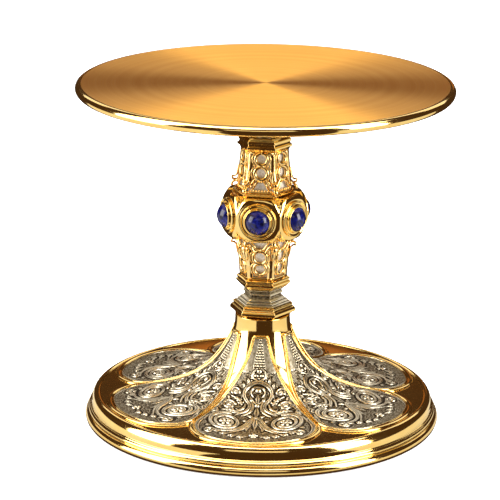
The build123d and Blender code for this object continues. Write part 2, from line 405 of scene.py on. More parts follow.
def edge_arc(centre, radius, start, end, count):
    angle = np.radians(np.linspace(start, end, count))
    return [(centre[0] + radius * math.cos(a), centre[1] + radius * math.sin(a)) for a in angle]


def plate():
    """Solid disc; its top face is brushed and the rounded rim is polished."""
    rim_r = PLATE_R - EDGE_R
    middle = (PLATE_BASE + PLATE_TOP) / 2
    face = [(0, PLATE_TOP), *[(r, PLATE_TOP) for r in np.linspace(4, rim_r - 0.9, 16)]]
    lip = [(rim_r - 0.45, PLATE_TOP), (rim_r - 0.15, PLATE_TOP - 0.03)]
    edge = edge_arc((rim_r, middle), EDGE_R, 88, -90, 20)
    outline = [*face, *lip, *edge, (rim_r / 2, PLATE_BASE), (0, PLATE_BASE)]
    points, quads = lathe(outline[::-1], 256)
    mesh = new_mesh("top_plate_disc", points, quads.tolist())
    merge_doubles(mesh)
    mesh.materials.append(GILT)
    mesh.materials.append(BRUSHED)
    for polygon in mesh.polygons:
        centre = polygon.center / MM
        on_top = polygon.normal.z > 0.9999
        polygon.material_index = int(on_top and math.hypot(centre.x, centre.y) < rim_r - 0.6)
    add_piece("top_plate_disc", mesh, GILT, "top_plate")


def merge_doubles(mesh, reach=1e-7):
    work = bmesh.new()
    work.from_mesh(mesh)
    bmesh.ops.remove_doubles(work, verts=work.verts, dist=reach)
    bmesh.ops.recalc_face_normals(work, faces=work.faces)
    work.to_mesh(mesh)
    work.free()


# ---------------------------------------------------------------- foot

NECK_Z = top_of("foot_shell")
FIELD_R = 79.0
FIELD_Z = 12.5
FLARE = smooth_curve(
    [(13.3, NECK_Z), (13.8, 45.5), (17.0, 37.2), (24.0, 27.0), (34.0, 19.4), (50.0, 14.4),
     (64.0, 12.8), (FIELD_R, FIELD_Z)], start=(0, -1), end=(1, 0), count=600)
FLARE_S = np.concatenate([[0], np.cumsum(np.linalg.norm(np.diff(FLARE, axis=0), axis=1))])


def s_of(r):
    """Distance down the flare's line at which it has a radius."""
    return np.interp(r, FLARE[:, 0], FLARE_S)


def s_of_height(z):
    return np.interp(-z, -FLARE[:, 1], FLARE_S)


def on_flare(s, w, lift):
    """Points on the foot: s down its line, w sideways from the middle, lifted off the surface."""
    r = np.interp(s, FLARE_S, FLARE[:, 0])
    z = np.interp(s, FLARE_S, FLARE[:, 1])
    slope = unit(np.gradient(FLARE, FLARE_S, axis=0))
    out_r = -np.interp(s, FLARE_S, slope[:, 1])
    out_z = np.interp(s, FLARE_S, slope[:, 0])
    angle = np.arcsin(np.clip(w / r, -1, 1)) - math.pi / 2
    reach = r + lift * out_r
    return polar(reach, angle, z + lift * out_z)


def turned_piece(name, outline, segments, node):
    mesh = new_mesh(name, *listed(lathe(outline, segments)))
    merge_doubles(mesh)
    add_piece(name, mesh, GILT, node, even_normals=True)


def foot_shell():
    wall = 1.5
    inner = [(r - wall, z - wall) for r, z in FLARE[::-6] if z < NECK_Z - 2 * wall]
    outline = [*FLARE[::4], (FIELD_R, FIELD_Z), (FIELD_R - wall, FIELD_Z - wall), *inner[1:],
               (BORE_R, NECK_Z - 3 * wall), (BORE_R, NECK_Z)]
    turned_piece("foot_flare", outline, 240, "foot_shell")


def listed(parts):
    points, quads = parts
    return points, quads.tolist()


def foot_ring():
    """Moulded base: top land, broad shoulder, small bead and the torus it stands on."""
    outer_r = 86.0
    outline = [
        (FIELD_R - 1.5, FIELD_Z - 1.5), (FIELD_R, FIELD_Z), (FIELD_R + 0.1, 12.9),
        *smooth_curve([(80.0, 13.0), (81.6, 12.1), (82.7, 9.8), (83.0, 7.2)], (1, 0.05), (0, -1), 18),
        (83.1, 7.0), (83.6, 6.9), (83.6, 6.6),
        *smooth_curve([(83.7, 6.4), (84.5, 5.5), (84.1, 4.5)], (1, -0.4), (-1, -0.6), 10),
        (83.9, 4.2), (84.1, 4.0),
        *smooth_curve([(84.3, 4.0), (outer_r, 1.9), (85.4, 0.0)], (1, 0), (-0.8, -1), 16),
        (80.5, 0.0), (80.0, 4.0), (76.0, 8.8), (76.0, 11.0),
    ]
    turned_piece("foot_moulding", outline, 256, "foot_ring")


# ---------------------------------------------------------------- plaques and their borders

PLAQUE_TOP_Z = 43.4
HALF_SECTOR = math.radians(29.9)


def outline_half(count):
    """Right half of a plaque's outline as (s, w), from its narrow top to its rounded end."""
    radii_widths = [(17.2, 4.3), (24.9, 9.6), (36.0, 16.4), (49.6, 23.6), (61.9, 28.3),
                    (70.7, 23.6), (74.2, 13.2), (75.2, 0.0)]
    points = [(s_of_height(PLAQUE_TOP_Z), 2.5)] + [(s_of(r), w) for r, w in radii_widths]
    return smooth_curve(points, start=(1, 0.22), end=(0, -1), count=count)


def near_line(points, line, reach):
    """Distance of points to a polyline and where along it (0 to 1), far ones left at 1e9."""
    distance, along = np.full(len(points), 1e9), np.zeros(len(points))
    low, high = line.min(0) - reach, line.max(0) + reach
    index = np.nonzero(((points > low) & (points < high)).all(1))[0]
    if not len(index):
        return distance, along
    near = points[index]
    best, where = np.full(len(near), 1e9), np.zeros(len(near))
    for k in range(len(line) - 1):
        step = line[k + 1] - line[k]
        t = np.clip(((near - line[k]) @ step) / max(step @ step, 1e-12), 0, 1)
        d = np.linalg.norm(near - line[k] - t[:, None] * step, axis=1)
        closer = d < best
        best[closer], where[closer] = d[closer], (k + t[closer]) / (len(line) - 1)
    distance[index], along[index] = best, where
    return distance, along


class Relief:
    """Height field in (s, w), mirrored about w = 0, built up from rounded strokes."""

    ECHO = 2.6

    def __init__(self, s, w):
        self.points = np.stack([s.ravel(), np.abs(w).ravel()], -1)
        self.shape = s.shape
        self.height = np.zeros(len(self.points))
        self.gap = np.full(len(self.points), self.ECHO)

    def raise_to(self, values):
        self.height = np.maximum(self.height, values)

    def stroke(self, line, widths, height, groove=0.0):
        """Half-round stroke that tapers between its widths; groove splits it in two."""
        line = np.asarray(line, float)
        widths = np.asarray(widths, float)
        distance, along = near_line(self.points, line, widths.max() + self.ECHO)
        half = np.interp(along, np.linspace(0, 1, len(widths)), widths)
        self.gap = np.minimum(self.gap, distance - half)
        share = np.clip(distance / np.maximum(half, 1e-6), 0, 1)
        lift = height * np.sqrt(1 - share**2) * (0.55 + 0.45 * half / widths.max())
        if groove:
            lift -= groove * height * np.exp(-(share / 0.28) ** 2) * (share < 1)
        self.raise_to(lift)

    def curve(self, points, widths, height, groove=0.0, count=40, **ends):
        self.stroke(smooth_curve([(s_of(r), w) for r, w in points], count=count, **ends),
                    widths, height, groove)

    def spiral(self, centre, radius, turns, start, widths, height, inner=0.18, groove=0.0, way=1):
        """Scroll that winds inwards from its rim; start is where the rim begins, in degrees."""
        t = np.linspace(0, 1, int(40 * turns) + 12)
        angle = math.radians(start) + way * 2 * math.pi * turns * t
        reach = radius * (1 - (1 - inner) * t)
        line = np.stack([s_of(centre[0]) + reach * np.cos(angle), centre[1] + reach * np.sin(angle)], -1)
        self.stroke(line, widths, height, groove)

    def dome(self, centre, radius, height):
        d = np.linalg.norm(self.points - (s_of(centre[0]), centre[1]), axis=1)
        self.gap = np.minimum(self.gap, d - radius)
        self.raise_to(height * np.sqrt(np.clip(1 - (d / radius) ** 2, 0, 1)))

    def flower(self, centre, radius, petals, height):
        """Rosette: petals round a button."""
        for k in range(petals):
            angle = 2 * math.pi * (k + 0.3) / petals
            start = np.array([s_of(centre[0]), centre[1]])
            way = np.array([math.cos(angle), math.sin(angle)])
            self.stroke([start + way * 0.25 * radius, start + way * 0.72 * radius],
                        (0.12 * radius, 0.30 * radius, 0.26 * radius), height)
        self.dome(centre, 0.26 * radius, height * 1.25)

    def leaf(self, root, tip, width, height, bend=0.0):
        """Pointed leaf with a rib down its middle."""
        a = np.array([s_of(root[0]), root[1]])
        b = np.array([s_of(tip[0]), tip[1]])
        side = np.array([-(b - a)[1], (b - a)[0]]) * bend
        t = np.linspace(0, 1, 12)[:, None]
        line = a * (1 - t) + b * t + 4 * t * (1 - t) * side
        self.stroke(line, (0.35 * width, width, 0.06 * width), height, groove=0.45)

    def acanthus(self, spine, widths, lobes, reach, height):
        """Leaf along a spine: a grooved rib with curling lobes on both sides."""
        line = smooth_curve([(s_of(r), w) for r, w in spine], count=60)
        self.stroke(line, widths, height, groove=0.35)
        step = unit(np.gradient(line, axis=0))
        for k in range(lobes):
            at = int((0.12 + 0.8 * k / lobes) * 59)
            for way in (-1, 1):
                side = np.array([-step[at][1], step[at][0]]) * way
                size = reach * (1 - 0.55 * k / lobes)
                tip = line[at] + side * size + step[at] * size * 0.9
                bend = line[at] + side * size * 0.75 + step[at] * size * 0.2
                self.stroke(smooth_curve([line[at], bend, tip], count=8),
                            (0.34 * size, 0.30 * size, 0.08 * size), height * 0.85)


def chase(relief, edge_w):
    """The plaque's chased design: scrolls with rosettes, an arched palmette, and leaves."""
    big = (53.6, 14.3)
    # arch over the palmette, flowing down and out into the large scroll
    relief.curve([(26.2, 0.0), (27.4, 3.9), (30.8, 6.4), (35.2, 5.4), (38.4, 3.6), (42.0, 4.4),
                  (45.2, 8.2)], (1.15, 0.95, 0.95), 1.0, 0.35, start=(0, 1))
    relief.curve([(36.6, 2.6), (39.4, 2.0), (43.4, 3.0), (47.2, 6.6)], (0.5, 0.8, 0.5), 0.85, 0.2)
    relief.curve([(38.0, 5.6), (40.8, 6.4), (43.6, 9.6)], (0.4, 0.75, 0.5), 0.85, 0.2)
    relief.spiral(big, 7.9, 2.3, 192, (1.15, 0.95, 0.6), 1.05, 0.28, 0.35, way=-1)
    relief.flower(big, 3.2, 5, 1.05)
    for turn, size in ((8, 2.6), (52, 2.4), (100, 2.2), (150, 2.4), (212, 2.2), (255, 2.0), (305, 2.4)):
        angle = math.radians(turn)
        way = (math.cos(angle), math.sin(angle))
        relief.leaf((big[0] + 8.6 * way[0], big[1] + 8.6 * way[1]),
                    (big[0] + (8.8 + size) * way[0], min(big[1] + (8.8 + size) * way[1], 25.8)),
                    0.95, 0.85, 0.22)
    # small scrolls beside the arch
    relief.spiral((31.0, 10.4), 2.3, 1.5, 60, (0.65, 0.6, 0.45), 0.9, 0.2)
    relief.dome((31.0, 10.4), 0.8, 1.05)
    relief.acanthus([(38.2, 7.4), (35.4, 8.8), (33.6, 12.4)], (0.5, 0.7, 0.3), 3, 1.6, 0.85)
    relief.spiral((39.4, 13.4), 3.1, 1.7, 250, (0.8, 0.7, 0.5), 0.95, 0.22, way=-1)
    relief.dome((39.4, 13.4), 1.0, 1.1)
    relief.spiral((44.6, 20.6), 2.4, 1.4, 120, (0.6, 0.5), 0.85, 0.25)
    relief.dome((44.6, 20.6), 0.8, 0.95)
    relief.acanthus([(44.6, 8.6), (43.0, 12.0), (43.6, 16.6)], (0.6, 0.8, 0.3), 3, 1.9, 0.9)
    relief.acanthus([(47.6, 18.6), (49.8, 22.0), (54.0, 24.2)], (0.4, 0.6, 0.3), 3, 1.2, 0.8)
    for r, w, tr, tw in ((35.6, 13.6, 33.8, 15.0), (28.8, 7.4, 26.4, 7.6), (28.2, 10.2, 30.2, 12.4),
                         (48.4, 19.4, 46.8, 22.6), (40.8, 17.2, 38.4, 17.8), (27.0, 5.4, 24.4, 5.6),
                         (33.8, 7.6, 31.6, 7.4), (25.0, 3.4, 22.6, 4.4)):
        relief.leaf((r, w), (tr, tw), 0.75, 0.8, 0.15)
    # palmette inside the arch
    relief.dome((29.8, 0.0), 1.5, 1.0)
    relief.curve([(28.4, 0.0), (28.8, 2.2), (31.0, 3.2), (33.2, 2.2)], (0.6, 0.6, 0.4), 0.85, start=(0, 1))
    relief.leaf((37.2, 0.0), (31.6, 0.0), 1.3, 1.0)
    relief.leaf((37.0, 0.9), (32.6, 3.4), 0.95, 0.9, -0.16)
    relief.dome((38.6, 0.0), 1.3, 1.05)
    # bud above the arch
    relief.dome((22.2, 0.0), 1.1, 0.95)
    relief.dome((23.7, 1.35), 0.95, 0.9)
    relief.curve([(25.6, 0.6), (24.4, 2.7), (22.2, 2.4), (21.4, 1.2)], (0.55, 0.35), 0.8)
    # bell and spreading leaves between the large scrolls
    relief.leaf((40.4, 0.0), (48.6, 0.0), 1.7, 0.6)
    relief.curve([(48.2, 0.0), (50.4, 2.2), (55.0, 4.4), (60.6, 8.6), (63.0, 15.0), (61.6, 21.0)],
                 (1.0, 1.05, 0.4), 1.0, 0.35)
    relief.curve([(50.2, 0.8), (54.6, 2.6), (59.4, 5.2), (64.6, 11.6)], (0.6, 0.9, 0.3), 0.9, 0.3)
    relief.leaf((49.6, 0.0), (59.8, 0.0), 1.6, 1.0)
    relief.leaf((54.8, 1.2), (62.4, 3.6), 1.0, 0.85, 0.14)
    relief.dome((48.8, 0.0), 1.3, 1.05)
    relief.leaf((49.4, 1.6), (46.6, 4.9), 1.0, 0.9, 0.2)
    # small leaves and rosettes along the rounded end
    relief.flower((67.0, 0.0), 2.4, 5, 0.95)
    for w, lean in ((4.4, 1.6), (8.6, 1.4), (12.6, 1.2), (16.4, 0.8)):
        edge = 72.4 - 0.020 * w * w
        relief.leaf((edge - 4.2, w - lean), (edge - 0.6, w + lean), 0.95, 0.9, 0.25)
        relief.spiral((edge - 2.8, w + 2.0), 1.1, 1.1, 90, (0.42, 0.35), 0.8)
    relief.spiral((64.8, 21.4), 2.4, 1.3, 200, (0.55, 0.45), 0.85, 0.2, way=-1)
    s, w = relief.points[:, 0], relief.points[:, 1]
    inset = edge_w - w
    # chased lines that echo every stroke, over a matted ground
    gap = np.clip(relief.gap, 0, relief.ECHO)
    fade = np.clip(1 - gap / relief.ECHO, 0, 1)
    pebble = np.sin(5.1 * s + 2.0 * np.sin(3.7 * w)) * np.sin(5.3 * w + 1.7 * np.sin(4.1 * s))
    echo = 0.5 - 0.5 * np.cos(2 * math.pi * gap / 0.86)
    relief.raise_to((0.12 + 0.26 * echo * fade + 0.10 * pebble) * (relief.gap > 0.05))
    # raised line that follows the plaque's edge, with a milled row outside it
    line = np.clip(1 - ((inset - 1.5) / 0.34) ** 2, 0, 1) * (s > s_of(34.0))
    relief.raise_to(0.55 * np.sqrt(line))
    milled = (inset < 1.0) & (s > s_of(34.0))
    wave = 0.5 + 0.5 * np.sin(2 * math.pi * s / 0.8)
    relief.height = np.where(milled, 0.18 + 0.3 * wave, relief.height)
    # herringbone strokes along the flanks of the narrow part
    ticks = (inset > 0.3) & (inset < 2.4) & (s > s_of(19.0)) & (s < s_of(34.0))
    relief.raise_to(ticks * (0.2 + 0.3 * np.sin(2 * math.pi * (s + 0.9 * inset) / 0.95)))
    # overlapping scales down the middle of the narrow part, plain bright metal beside them
    pitch = 1.3
    row = np.floor(s / pitch)
    u = (w + 0.5 * pitch * (row % 2)) / pitch
    x, y = (u - np.round(u)) * pitch, (s / pitch - row - 0.45) * pitch
    scale = np.sqrt(np.clip(1 - (x / 0.58) ** 2 - (y / 0.66) ** 2, 0, 1))
    middle = (s < s_of(27.0)) & (w < 1.6 + 0.16 * (s - s_of(17.0))) & (relief.height < 0.4)
    relief.height = np.where(middle, 0.06 + 0.62 * scale, relief.height)
    plain = (s < s_of(23.0)) & ~middle & (inset > 0.3) & (relief.height < 0.55)
    relief.height = np.where(plain, 0.62, relief.height)


def blurred(field, rows, cols):
    """Mean over a window, an estimate of the level round each point."""
    out = field
    for axis, reach in ((0, rows), (1, cols)):
        padded = np.pad(out, [(reach, reach) if k == axis else (0, 0) for k in (0, 1)], "edge")
        total = np.cumsum(padded, axis)
        lead = np.take(total, np.arange(2 * reach, total.shape[axis]), axis)
        lag = np.take(total, np.arange(total.shape[axis] - 2 * reach), axis)
        out = (lead - lag) / (2 * reach)
    return out


def plaque_mesh():
    """Closed body: chased top, thin edges, and a plain underside that rests on the shell."""
    rows, cols = 430, 200
    outline = outline_half(rows + 1)[:-1]
    across = np.linspace(-1, 1, cols)
    s = outline[:, :1] + 0 * across
    w = outline[:, 1:] * across
    relief = Relief(s, w)
    edge_w = np.interp(s, outline[:, 0], outline[:, 1])
    chase(relief, edge_w.ravel())
    height = relief.height.reshape(s.shape)
    lift = 0.3 + 0.85 * height
    top = on_flare(s, w, lift)
    proud = height - blurred(height, 4, 3)
    gap = relief.gap.reshape(s.shape)
    shade = np.exp(-((gap - 0.24) / 0.26) ** 2) * (gap > -0.05)
    # ground tone, then how much proud spots, height and the outlines of strokes change it
    tone = np.clip(0.23 + 2.6 * proud + 0.32 * height - 0.56 * shade, 0, 1)
    sides = np.stack([on_flare(outline[:, 0], k * outline[:, 1], -0.1) for k in (-1, 1)], 1)
    count = rows * cols
    faces = grid_quads(rows, cols).tolist()
    for i in range(rows - 1):
        left, right = count + 2 * i, count + 2 * i + 1
        faces.append([i * cols, (i + 1) * cols, left + 2, left])
        faces.append([i * cols + cols - 1, right, right + 2, (i + 1) * cols + cols - 1])
        faces.append([left, left + 2, right + 2, right])
    faces.append([*range(cols), count + 1, count])
    last = count + 2 * rows - 2
    faces.append([*range((rows - 1) * cols, rows * cols)][::-1] + [last, last + 1])
    mesh = new_mesh("chased_plaque", np.concatenate([top.reshape(-1, 3), sides.reshape(-1, 3)]), faces)
    add_attribute(mesh, "relief", np.concatenate([tone.ravel(), np.full(2 * rows, 0.3)]))
    return mesh


def border_mesh():
    """Raised gilt frame: a fine bead beside the silver, a groove, a broad roll, and a cap on top."""
    half = outline_half(260)
    top_s = half[0, 0]
    bar = np.stack([np.full(11, top_s), np.linspace(-half[0, 1], half[0, 1], 13)[1:-1]], -1)
    loop = np.concatenate([bar, half, half[-2::-1] * (1, -1)])
    step = unit(np.roll(loop, -1, 0) - np.roll(loop, 1, 0))
    outwards = np.stack([step[:, 1], -step[:, 0]], -1)
    outwards *= np.sign(np.sum(outwards * (loop - (s_of(45.0), 0)), 1))[:, None]
    fullness = np.clip((loop[:, 0] - s_of(52.0)) / (s_of(66.0) - s_of(52.0)), 0, 1)
    width = 1.45 + 2.0 * fullness * fullness * (3 - 2 * fullness)
    share = np.linspace(0, 1, 23)
    split = 0.34 - 0.12 * fullness
    rows = []
    for k in share:
        crest = np.maximum(0.85 * bead(k, split / 2, split / 2),
                           bead(k, (1 + split) / 2 + 0.02, (1 - split) / 2 - 0.02))
        line = loop + outwards * (width * (1.1 * k - 0.10))[:, None]
        limit = np.interp(line[:, 0], FLARE_S, FLARE[:, 0]) * math.sin(HALF_SECTOR)
        line[:, 1] = np.clip(line[:, 1], -limit, limit)
        rows.append(on_flare(line[:, 0], line[:, 1], 0.2 + (0.85 - 0.15 * fullness) * crest))
    low = [on_flare(*(loop + outwards * width[:, None] * k).T, -0.15) for k in (0.98, -0.1)]
    points = np.array(rows + low)
    faces = grid_quads(len(points), len(loop), True, True).tolist()
    w = np.linspace(-half[0, 1] - 0.9, half[0, 1] + 0.9, 13)
    line = on_flare(np.full(13, top_s - 0.5), w, 0.75)
    out = on_flare(np.full(13, top_s - 0.5), w, 1.75) - line
    down = unit(np.cross(np.gradient(line, axis=0), out))
    cap = tube(line, down, out, (0.45, 0.8, 0.8, 0.8, 0.45), (0.45, 0.75, 0.75, 0.75, 0.45))
    mesh = new_mesh("gilt_border", *joined([(points, faces), cap]))
    merge_doubles(mesh)
    return mesh


def bead(share, centre, half):
    return np.sqrt(np.clip(1 - ((share - centre) / half) ** 2, 0, 1))


def plaques():
    chased, frame_mesh = plaque_mesh(), border_mesh()
    for i in range(SIDES):
        turn = Matrix.Rotation(i * math.pi / 3, 4, "Z")
        add_piece(f"chased_plaque_{i + 1}", chased, SILVER, f"plaque_{i + 1}", turn)
        add_piece(f"gilt_border_{i + 1}", frame_mesh, GILT,
                  f"plaque_border_{i + 1}", turn)


# ---------------------------------------------------------------- stem mouldings

def moulding(name, node, levels, material, ease=0.35, soften=0.2):
    """Hexagonal moulding from (height above the node's base, corner radius) points upwards."""
    levels = [(base_of(node) + z, corner) for z, corner in levels]
    points, quads = hexagonal(eased_levels(levels, soften), ease)
    mesh = new_mesh(name, points, quads.tolist())
    merge_doubles(mesh)
    if material is SILVER:
        add_attribute(mesh, "relief", silver_wear(mesh, levels))
    add_piece(name, mesh, material, node, even_normals=True)


def silver_wear(mesh, levels):
    """How bright plain silver is: proud edges are rubbed bright and inner corners stay dark."""
    z, corner = np.array(levels).T
    order = np.argsort(z)
    smooth = np.convolve(np.interp(np.linspace(z.min(), z.max(), 60), z[order], corner[order]),
                         np.ones(9) / 9, "same")
    co = np.array([v.co for v in mesh.vertices]) / MM
    level = np.interp(co[:, 2], np.linspace(z.min(), z.max(), 60), smooth)
    here = np.interp(co[:, 2], z[order], corner[order])
    return np.clip(0.62 + 1.5 * (here - level), 0.12, 1.0)


SPOOL = [
    (0, 13.6), (0.6, 13.4), (0.9, 12.4), (1.6, 12.3), (2.0, 11.1), (2.6, 11.0), (3.2, 9.6),
    (3.5, 9.1), (4.7, 8.9), (5.0, 9.7), (5.7, 9.8), (6.0, 9.2), (6.9, 9.3), (7.3, 10.2), (8.1, 10.6),
]
UPPER_SPOOL_H = 7.1
GILT_MOULDINGS = {
    "foot_collar_moulding": ("foot_collar", [
        (0, 13.6), (0.9, 14.6), (1.6, 16.1), (2.9, 16.2), (3.3, 15.7), (3.8, 15.5), (3.9, 14.7),
        (4.6, 14.4), (4.8, 14.7), (5.6, 14.6)]),
    "lower_collar_moulding": ("lower_collar", [
        (0, 11.2), (0.6, 11.9), (1.3, 12.4), (1.9, 13.3), (3.0, 13.4), (3.2, 12.7), (3.8, 12.6),
        (4.0, 13.2), (4.6, 13.2), (5.2, 12.3)]),
    "upper_plinth_step": ("upper_plinth", [
        (0, 15.4), (0.4, 15.7), (0.8, 15.6), (0.9, 14.9), (1.4, 14.8)]),
    "upper_collar_moulding": ("upper_collar", [
        (0, 11.9), (0.8, 12.3), (1.4, 13.3), (2.4, 13.4), (2.7, 12.6), (3.7, 12.3), (3.9, 12.8),
        (5.1, 12.7), (5.5, 12.1), (6.3, 11.0)]),
    "calyx_collar_moulding": ("calyx_collar", [
        (0, 13.6), (1.0, 14.6), (1.4, 16.1), (2.8, 16.2), (3.2, 15.5), (4.2, 15.2), (5.4, 14.9)]),
}


def stem_mouldings():
    for name, (node, levels) in GILT_MOULDINGS.items():
        moulding(name, node, levels, GILT)
    height = top_of("upper_spool") - base_of("upper_spool")
    mirrored = [(height - z, corner) for z, corner in SPOOL[::-1] if z <= UPPER_SPOOL_H]
    for place, levels in (("lower", SPOOL), ("upper", mirrored)):
        moulding(f"{place}_spool_steps", f"{place}_spool", levels, SILVER, 0.15, 0.08)


def calyx():
    base, top = base_of("top_calyx"), top_of("top_calyx")
    side = smooth_curve([(14.0, base), (16.5, base + 4.0), (30.0, top - 1.2)], (0, 1), (1, 0.15), 30)
    outline = [(BORE_R, base), *side, *edge_arc((30.0 - 0.6, top - 0.6), 0.6, 0, 90, 4),
               (11.9, top), (11.9, base + 2.4), (BORE_R, base + 2.4)]
    turned_piece("plate_calyx", outline, 128, "top_calyx")


# ---------------------------------------------------------------- jewels

KNOP_BASE, KNOP_TOP = base_of("knop_body"), top_of("knop_body")
KNOP_Z = (KNOP_BASE + KNOP_TOP) / 2
SEAT_R = 18.3


def jewel_matrix(i):
    """Turns a body made about +Z so that it stands on face i of the knop."""
    turn = Matrix.Rotation(STEM_TURN + i * math.pi / 3, 4, "Z")
    seat = Matrix.Translation((0, -SEAT_R * MM, KNOP_Z * MM))
    return turn @ seat @ Matrix.Rotation(math.pi / 2, 4, "X")


def jewels():
    rim = [(6.0, 0.0), (8.7, 0.0), (8.8, 0.5), (8.75, 1.0), (8.5, 1.3), (8.2, 1.25), (7.9, 0.95),
           (7.4, 0.75), (6.9, 0.85), (6.65, 1.3), (6.55, 2.0), (6.35, 2.4), (6.0, 2.5), (5.62, 2.3),
           (5.9, 1.4)]
    ring = new_mesh("jewel_rim", *listed(lathe(rounded(rim, 0.25), 96)))
    merge_doubles(ring)
    dome = smooth_curve([(5.95, 1.2), (4.4, 3.7), (0.0, 5.4)], (-0.35, 1), (-1, 0), 24)
    stone = new_mesh("lapis_cabochon", *listed(lathe([(0, 0), (5.95, 0), *dome], 96)))
    merge_doubles(stone)
    for i in range(SIDES):
        place = jewel_matrix(i)
        add_piece(f"jewel_rim_{i + 1}", ring, GILT, f"bezel_{i + 1}", place)
        add_piece(f"lapis_{i + 1}", stone, LAPIS, f"cabochon_{i + 1}", place)


# ---------------------------------------------------------------- knop

def blend_max(a, b, reach):
    """Larger of two fields with a soft join."""
    top = np.maximum(a, b)
    return top + reach * np.log(np.exp((a - top) / reach) + np.exp((b - top) / reach))


def knop():
    """Six-sided cushion with cut corners and a round boss behind each jewel."""
    half = (KNOP_TOP - KNOP_BASE) / 2
    side_v = [0, 4.3, 7.2, half - 0.7, half]
    side_r = [17.6, 17.55, 16.7, 14.6, 13.2]
    corner_v = [0, 5.4, 7.2, half - 0.7, half]
    corner_r = [19.9, 19.85, 18.95, 15.9, 14.7]
    v = half * np.sin(np.linspace(-1, 1, 120) * math.pi / 2)[:, None]
    flat = np.interp(np.abs(v), side_v, side_r)
    cut = np.interp(np.abs(v), corner_v, corner_r)
    angle = np.linspace(-30, 30, 84, endpoint=False) * math.pi / 180
    reach = -blend_max(-flat / np.cos(angle), -cut / np.cos(math.pi / 6 - np.abs(angle)), 0.06)
    t = reach * np.sin(angle)
    d = np.hypot(t, v)
    fall = np.clip((d - 8.8) / 3.4, 0, 1)
    boss = (SEAT_R - 3.4 * (1 - np.sqrt(1 - fall**2))) / np.cos(angle)
    reach = blend_max(reach, np.where(d < 12.2, boss, 0), 0.12)
    rings = []
    for k in range(SIDES):
        turn = STEM_TURN + k * math.pi / 3 - math.pi / 2 + angle
        rings.append(polar(reach, turn, v + KNOP_Z + 0 * reach))
    body = np.concatenate(rings, 1)
    around = np.arctan2(body[0, :, 1], body[0, :, 0])
    bores = [polar(BORE_R, around, 0 * around + z)
             for z in (KNOP_TOP, KNOP_BASE)]
    body = np.concatenate([body, np.array(bores)])
    mesh = new_mesh("knop_cushion", body, grid_quads(len(body), body.shape[1], True, True).tolist())
    merge_doubles(mesh)
    add_piece("knop_cushion", mesh, GILT, "knop_body", even_normals=True)


# ---------------------------------------------------------------- lanterns

LANTERN_WALL = 1.4
LANTERN_LEVELS = [(0.0, 14.3), (0.9, 14.3), (1.5, 13.3), (7.0, 12.9), (13.0, 12.2)]
LANTERN_END_R = 11.6


